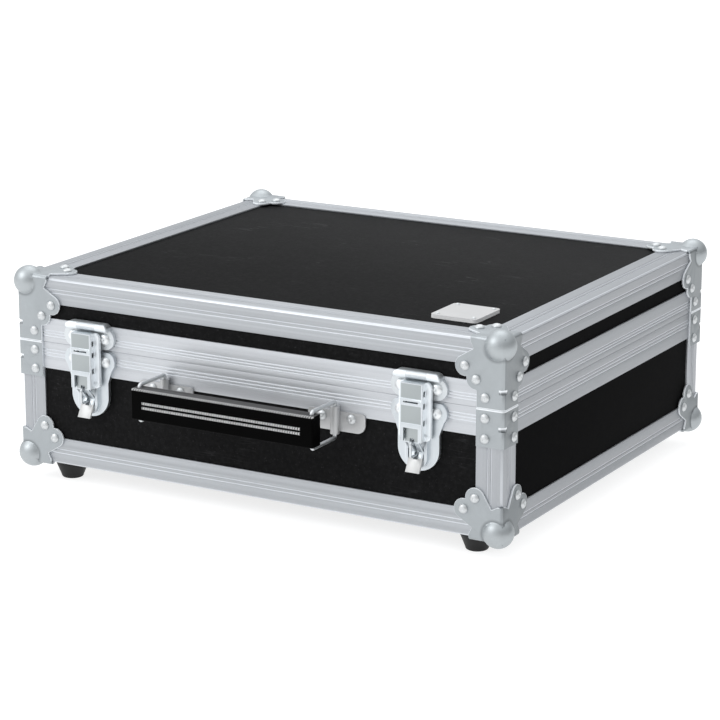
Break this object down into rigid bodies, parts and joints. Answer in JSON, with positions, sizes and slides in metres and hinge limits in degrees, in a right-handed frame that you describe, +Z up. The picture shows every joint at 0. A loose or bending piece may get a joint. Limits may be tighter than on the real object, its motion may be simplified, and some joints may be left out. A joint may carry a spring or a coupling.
{
  "type": "flight case",
  "caption": "Small rectangular flight case: black laminated panels in aluminium edge angles, steel ball corners, front toggle latches, swinging grip and a hinged lid.",
  "frame": {"origin": "on the floor plane, at the bottom centre of the whole case's bounding box, with the front grip and the rear hinges counted", "axes": "+X along the case's width, to the right seen from the front; +Y from the latch side to the hinge side; +Z up"},
  "size_m": [0.4748, 0.4444, 0.1874],
  "materials": {
    "laminate": "black fine-grained laminate on plywood",
    "extrusion": "satin extruded, fine lengthwise grooves",
    "corner_steel": "zinc-plated pressed sheet, satin",
    "rivet_steel": "plated, lightly polished heads",
    "hardware_steel": "zinc-plated, satin",
    "latch_zinc": "bright zinc plate with a bluish cast",
    "grip_plastic": "black moulded, low sheen",
    "rubber": "black moulded rubber",
    "foam": "dark grey open-cell foam",
    "label_metal": "satin plate, left bare"
  },
  "bodies": {
    "case_base": {"base_ball_corners": "corner_steel", "base_closing_rail_front": "extrusion", "base_closing_rail_left": "extrusion", "base_closing_rail_rear": "extrusion", "base_closing_rail_right": "extrusion", "base_corner_angles": "extrusion", "base_corner_braces": "corner_steel", "base_floor_panel": "laminate", "base_front_panel": "laminate", "base_left_panel": "laminate", "base_rear_panel": "laminate", "base_right_panel": "laminate", "base_rivets": "rivet_steel", "bottom_angle_front": "extrusion", "bottom_angle_left": "extrusion", "bottom_angle_rear": "extrusion", "bottom_angle_right": "extrusion", "floor_foam": "foam", "foot_screws": "rivet_steel", "handle_saddles": "hardware_steel", "hinge_base_leaves": "hardware_steel", "hinge_pins": "hardware_steel", "latch_base_left": "latch_zinc", "latch_base_right": "latch_zinc", "latch_base_rivets": "rivet_steel", "latch_pivot_pins": "latch_zinc", "latch_staples": "latch_zinc", "rubber_feet": "rubber", "wall_foam": "foam"},
    "lid": {"hinge_lid_leaves": "hardware_steel", "label_plate": "label_metal", "label_rivets": "rivet_steel", "latch_strike_rivets": "rivet_steel", "latch_strikes": "latch_zinc", "lid_ball_corners": "corner_steel", "lid_closing_rail_front": "extrusion", "lid_closing_rail_left": "extrusion", "lid_closing_rail_rear": "extrusion", "lid_closing_rail_right": "extrusion", "lid_corner_angles": "extrusion", "lid_foam": "foam", "lid_front_panel": "laminate", "lid_left_panel": "laminate", "lid_rear_panel": "laminate", "lid_right_panel": "laminate", "lid_rivets": "rivet_steel", "lid_top_angle_front": "extrusion", "lid_top_angle_left": "extrusion", "lid_top_angle_rear": "extrusion", "lid_top_angle_right": "extrusion", "lid_top_panel": "laminate"},
    "lever_left": {"latch_lever_left": "latch_zinc"},
    "lever_right": {"latch_lever_right": "latch_zinc"},
    "claw_left": {"latch_claw_left": "latch_zinc", "latch_claw_pin_left": "latch_zinc"},
    "claw_right": {"latch_claw_right": "latch_zinc", "latch_claw_pin_right": "latch_zinc"},
    "link_left": {"handle_link_left": "hardware_steel"},
    "link_right": {"handle_link_right": "hardware_steel"},
    "grip": {"handle_grip": "grip_plastic"}
  },
  "joints": [
    {"name": "lid_hinge", "type": "hinge", "parent": "case_base", "child": "lid", "pos_m": [0, 0.21865, 0.1242], "axis": [-1, 0, 0], "range_deg": [0, 100]},
    {"name": "latch_lever_left_pivot", "type": "hinge", "parent": "case_base", "child": "lever_left", "pos_m": [-0.1575, -0.18465, 0.1062], "axis": [-1, 0, 0], "range_deg": [0, 100]},
    {"name": "latch_claw_left_pivot", "type": "hinge", "parent": "lever_left", "child": "claw_left", "pos_m": [-0.1575, -0.18465, 0.0982], "axis": [-1, 0, 0], "range_deg": [-110, 0]},
    {"name": "latch_lever_right_pivot", "type": "hinge", "parent": "case_base", "child": "lever_right", "pos_m": [0.1575, -0.18465, 0.1062], "axis": [-1, 0, 0], "range_deg": [0, 100]},
    {"name": "latch_claw_right_pivot", "type": "hinge", "parent": "lever_right", "child": "claw_right", "pos_m": [0.1575, -0.18465, 0.0982], "axis": [-1, 0, 0], "range_deg": [-110, 0]},
    {"name": "handle_link_left_swing", "type": "hinge", "parent": "case_base", "child": "link_left", "pos_m": [-0.08175, -0.17785, 0.0974], "axis": [0, 0, 1], "range_deg": [-60, 60]},
    {"name": "handle_link_right_swing", "type": "hinge", "parent": "case_base", "child": "link_right", "pos_m": [0.08175, -0.17785, 0.0974], "axis": [0, 0, 1], "range_deg": [-60, 60]},
    {"name": "grip_swing", "type": "hinge", "parent": "link_left", "child": "grip", "pos_m": [-0.08175, -0.21435, 0.0974], "axis": [0, 0, 1], "range_deg": [-60, 60]}
  ],
  "couplings": [
    {"joint": "latch_claw_left_pivot", "follows": "latch_lever_left_pivot", "ratio": -1.1},
    {"joint": "latch_claw_right_pivot", "follows": "latch_lever_right_pivot", "ratio": -1.1},
    {"joint": "handle_link_right_swing", "follows": "handle_link_left_swing", "ratio": 1},
    {"joint": "grip_swing", "follows": "handle_link_left_swing", "ratio": -1}
  ]
}
